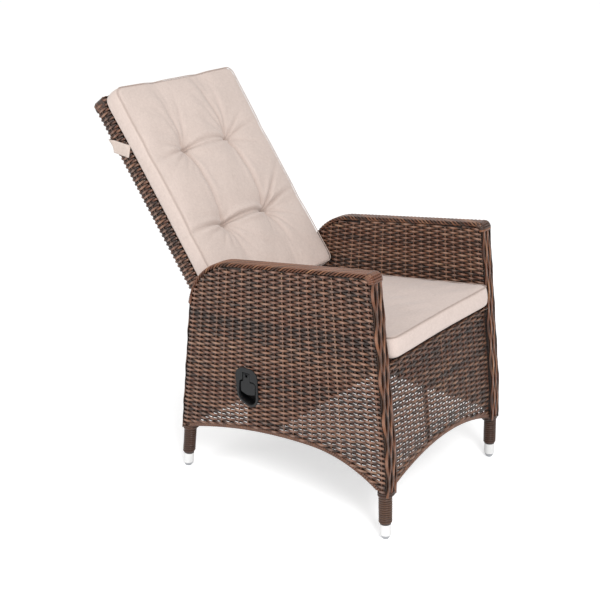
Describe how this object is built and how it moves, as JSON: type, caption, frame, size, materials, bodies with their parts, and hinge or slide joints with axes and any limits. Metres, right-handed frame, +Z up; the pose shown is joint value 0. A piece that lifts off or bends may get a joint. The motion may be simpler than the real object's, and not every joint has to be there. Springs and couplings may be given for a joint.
{
  "type": "reclining garden armchair",
  "caption": "Woven resin garden armchair with a hinged reclining backrest held by a gas spring, a side release handle, and loose seat and back cushions.",
  "frame": {"origin": "on the floor, midway between the feet: x = 0 is the chair's middle, y = 0 lies midway between the front and rear feet", "axes": "+X to the sitter's left, -Y is the way the sitter faces, +Z up; the recline handle is on the -X side"},
  "size_m": [0.584, 0.9967, 1.0083],
  "materials": {
    "woven_resin": "half-round resin strands, mixed browns, satin",
    "frame_tube": "dark brown powder coat",
    "zinc_steel": "zinc plated steel",
    "white_foot": "white moulded plastic",
    "cushion_cloth": "woven beige cloth over foam, satin",
    "strap_webbing": "cloth strap like the cushion's",
    "handle_plastic": "dark grey satin moulding",
    "black_nylon": "black nylon",
    "cable_sheath": "black extruded sheath",
    "black_cylinder": "black painted pressure tube",
    "polished_rod": "ground and polished rod"
  },
  "bodies": {
    "frame": {"front_leg_left": "frame_tube", "front_leg_right": "frame_tube", "arm_rail_left": "frame_tube", "arm_rail_right": "frame_tube", "foot_front_left": "white_foot", "foot_front_right": "white_foot", "foot_rear_left": "white_foot", "foot_rear_right": "white_foot", "leg_wrap_front_left": "woven_resin", "leg_wrap_front_right": "woven_resin", "leg_wrap_rear_left": "woven_resin", "leg_wrap_rear_right": "woven_resin", "side_wicker_left": "woven_resin", "side_wicker_right": "woven_resin", "side_arch_rod_left": "frame_tube", "side_arch_rod_right": "frame_tube", "front_apron_wicker": "woven_resin", "front_arch_rod": "frame_tube", "seat_front_rail": "frame_tube", "seat_middle_rail": "frame_tube", "seat_rear_rail": "frame_tube", "seat_side_rail_left": "frame_tube", "seat_side_rail_right": "frame_tube", "seat_panel_wicker": "woven_resin", "seat_brackets": "frame_tube", "frame_bolts": "zinc_steel", "spring_bracket": "frame_tube", "spring_bracket_pin": "zinc_steel", "pivot_plate_left": "frame_tube", "pivot_plate_right": "frame_tube", "pivot_bolts": "zinc_steel", "pivot_spacers": "black_nylon", "handle_bezel": "handle_plastic", "handle_pin": "zinc_steel", "handle_spring": "zinc_steel", "release_cable": "cable_sheath", "seat_cushion": "cushion_cloth"},
    "backrest": {"back_tube": "frame_tube", "back_lower_rail": "frame_tube", "back_wicker": "woven_resin", "spring_lever": "frame_tube", "lever_pin": "zinc_steel", "pivot_bushes": "black_nylon", "back_cushion": "cushion_cloth", "cushion_strap": "strap_webbing"},
    "spring_head": {"release_head": "zinc_steel", "gas_rod": "polished_rod", "release_lever_axle": "zinc_steel", "release_pin": "zinc_steel"},
    "spring_barrel": {"gas_cylinder": "black_cylinder", "spring_eye": "zinc_steel"},
    "release_lever": {"release_lever": "zinc_steel"},
    "paddle": {"handle_paddle": "handle_plastic"}
  },
  "joints": [
    {"name": "recline", "type": "hinge", "parent": "frame", "child": "backrest", "pos_m": [0, 0.259, 0.437], "axis": [-1, 0, 0], "range_deg": [-18, 18]},
    {"name": "spring_swing", "type": "hinge", "parent": "frame", "child": "spring_head", "pos_m": [0, -0.06, 0.378], "axis": [-1, 0, 0], "range_deg": [-0.3, 0.3]},
    {"name": "spring_slide", "type": "slide", "parent": "spring_head", "child": "spring_barrel", "axis": [0, 0.9955, -0.0943], "range_m": [-0.0285, 0.0285]},
    {"name": "paddle_pull", "type": "hinge", "parent": "frame", "child": "paddle", "pos_m": [-0.287, 0.0925, 0.335], "axis": [0, 1, 0], "range_deg": [0, 25], "stiffness_Nm_per_rad": 0.2, "springref_deg": -5.73},
    {"name": "release_lever_turn", "type": "hinge", "parent": "spring_head", "child": "release_lever", "pos_m": [0, -0.04306, 0.38192], "axis": [1, 0, 0], "range_deg": [0, 7.6]}
  ],
  "couplings": [
    {"joint": "spring_swing", "follows": "recline", "ratio": 0.013},
    {"joint": "spring_slide", "follows": "recline", "m_per_rad": -0.089},
    {"joint": "release_lever_turn", "follows": "paddle_pull", "ratio": 0.3}
  ]
}
